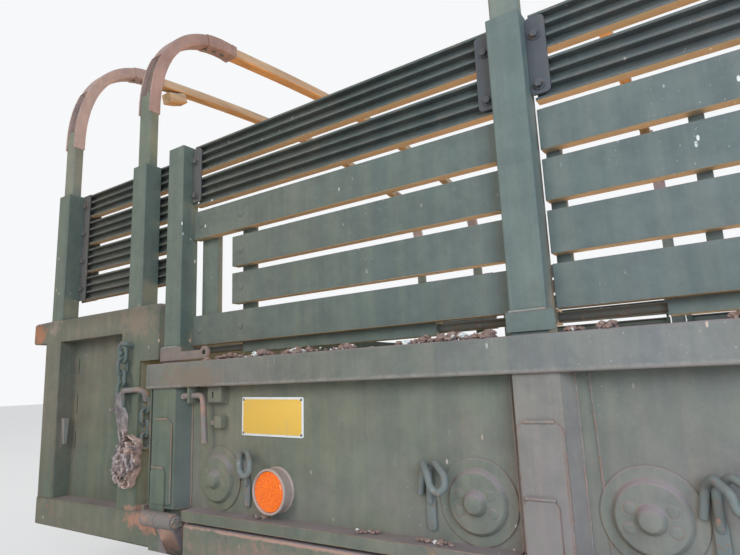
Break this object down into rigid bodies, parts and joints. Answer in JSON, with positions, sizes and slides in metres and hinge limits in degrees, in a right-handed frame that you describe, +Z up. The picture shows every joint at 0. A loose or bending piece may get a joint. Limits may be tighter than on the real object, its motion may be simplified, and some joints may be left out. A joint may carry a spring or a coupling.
{
  "type": "military truck cargo body",
  "caption": "Dropside cargo body of a military truck with hinged side gates and tailgate, stakes, ribbed rack boards, folding troop seats and roof bows.",
  "frame": {"origin": "centre of the rectangle of four chassis bolt holes, at the underside of the main sills", "axes": "+X to the vehicle's front, +Y to its left side, +Z up"},
  "size_m": [4.403, 2.482, 1.8198],
  "materials": {
    "green_paint": "faded matt olive green paint over steel, with rust and dust",
    "rack_plank": "faded matt green on extruded ribbed planks",
    "bare_steel": "worn green paint and brown rust on steel",
    "deck_board": "weathered hardwood",
    "bow_timber": "weathered timber, grey on top",
    "amber_lens": "amber prismatic lens in a painted ring",
    "plate_yellow": "yellow face with a white rim, blank",
    "strap_cloth": "frayed dusty webbing"
  },
  "bodies": {
    "root": {"backrests_left": "rack_plank", "backrests_right": "rack_plank", "bow_beams": "bow_timber", "bow_frames": "green_paint", "chains_left": "bare_steel", "chains_right": "bare_steel", "corner_rack_left": "rack_plank", "corner_rack_right": "rack_plank", "cross_sills": "green_paint", "fixed_side_left": "green_paint", "fixed_side_right": "green_paint", "floor": "deck_board", "front_wall": "green_paint", "main_sills": "green_paint", "mount_brackets": "green_paint", "rear_posts": "green_paint", "rear_sill": "green_paint", "seat_rods": "bare_steel", "side_sill_left": "green_paint", "side_sill_right": "green_paint", "stakes_left": "green_paint", "stakes_right": "green_paint", "torn_strap": "strap_cloth"},
    "gate_left_body": {"data_plate": "plate_yellow", "gate_left": "green_paint", "latches_left": "bare_steel", "reflector_left": "amber_lens", "rope_hooks_left": "green_paint", "tie_downs_left": "green_paint"},
    "gate_right_body": {"gate_right": "green_paint", "latches_right": "bare_steel", "reflector_right": "amber_lens", "rope_hooks_right": "green_paint", "tie_downs_right": "green_paint"},
    "tailgate_body": {"tailgate": "green_paint"},
    "seat_left_1_body": {"seat_left_1": "rack_plank"},
    "seat_right_1_body": {"seat_right_1": "rack_plank"},
    "seat_left_2_body": {"seat_left_2": "rack_plank"},
    "seat_right_2_body": {"seat_right_2": "rack_plank"},
    "seat_left_3_body": {"seat_left_3": "rack_plank"},
    "seat_right_3_body": {"seat_right_3": "rack_plank"},
    "seat_left_4_body": {"seat_left_4": "rack_plank"},
    "seat_right_4_body": {"seat_right_4": "rack_plank"}
  },
  "joints": [
    {"name": "gate_left_hinge", "type": "hinge", "parent": "root", "child": "gate_left_body", "pos_m": [0, 1.224, 0.203], "axis": [-1, 0, 0], "range_deg": [0, 170]},
    {"name": "gate_right_hinge", "type": "hinge", "parent": "root", "child": "gate_right_body", "pos_m": [0, -1.224, 0.203], "axis": [1, 0, 0], "range_deg": [0, 170]},
    {"name": "tailgate_hinge", "type": "hinge", "parent": "root", "child": "tailgate_body", "pos_m": [-2.195, 0, 0.203], "axis": [0, -1, 0], "range_deg": [0, 170]},
    {"name": "seat_left_1_hinge", "type": "hinge", "parent": "root", "child": "seat_left_1_body", "pos_m": [0, 1.122, 0.5805], "axis": [1, 0, 0], "range_deg": [0, 90]},
    {"name": "seat_left_2_hinge", "type": "hinge", "parent": "root", "child": "seat_left_2_body", "pos_m": [0, 1.122, 0.5805], "axis": [1, 0, 0], "range_deg": [0, 90]},
    {"name": "seat_left_3_hinge", "type": "hinge", "parent": "root", "child": "seat_left_3_body", "pos_m": [0, 1.122, 0.5805], "axis": [1, 0, 0], "range_deg": [0, 90]},
    {"name": "seat_left_4_hinge", "type": "hinge", "parent": "root", "child": "seat_left_4_body", "pos_m": [0, 1.122, 0.5805], "axis": [1, 0, 0], "range_deg": [0, 90]},
    {"name": "seat_right_1_hinge", "type": "hinge", "parent": "root", "child": "seat_right_1_body", "pos_m": [0, -1.122, 0.5805], "axis": [-1, 0, 0], "range_deg": [0, 90]},
    {"name": "seat_right_2_hinge", "type": "hinge", "parent": "root", "child": "seat_right_2_body", "pos_m": [0, -1.122, 0.5805], "axis": [-1, 0, 0], "range_deg": [0, 90]},
    {"name": "seat_right_3_hinge", "type": "hinge", "parent": "root", "child": "seat_right_3_body", "pos_m": [0, -1.122, 0.5805], "axis": [-1, 0, 0], "range_deg": [0, 90]},
    {"name": "seat_right_4_hinge", "type": "hinge", "parent": "root", "child": "seat_right_4_body", "pos_m": [0, -1.122, 0.5805], "axis": [-1, 0, 0], "range_deg": [0, 90]}
  ]
}
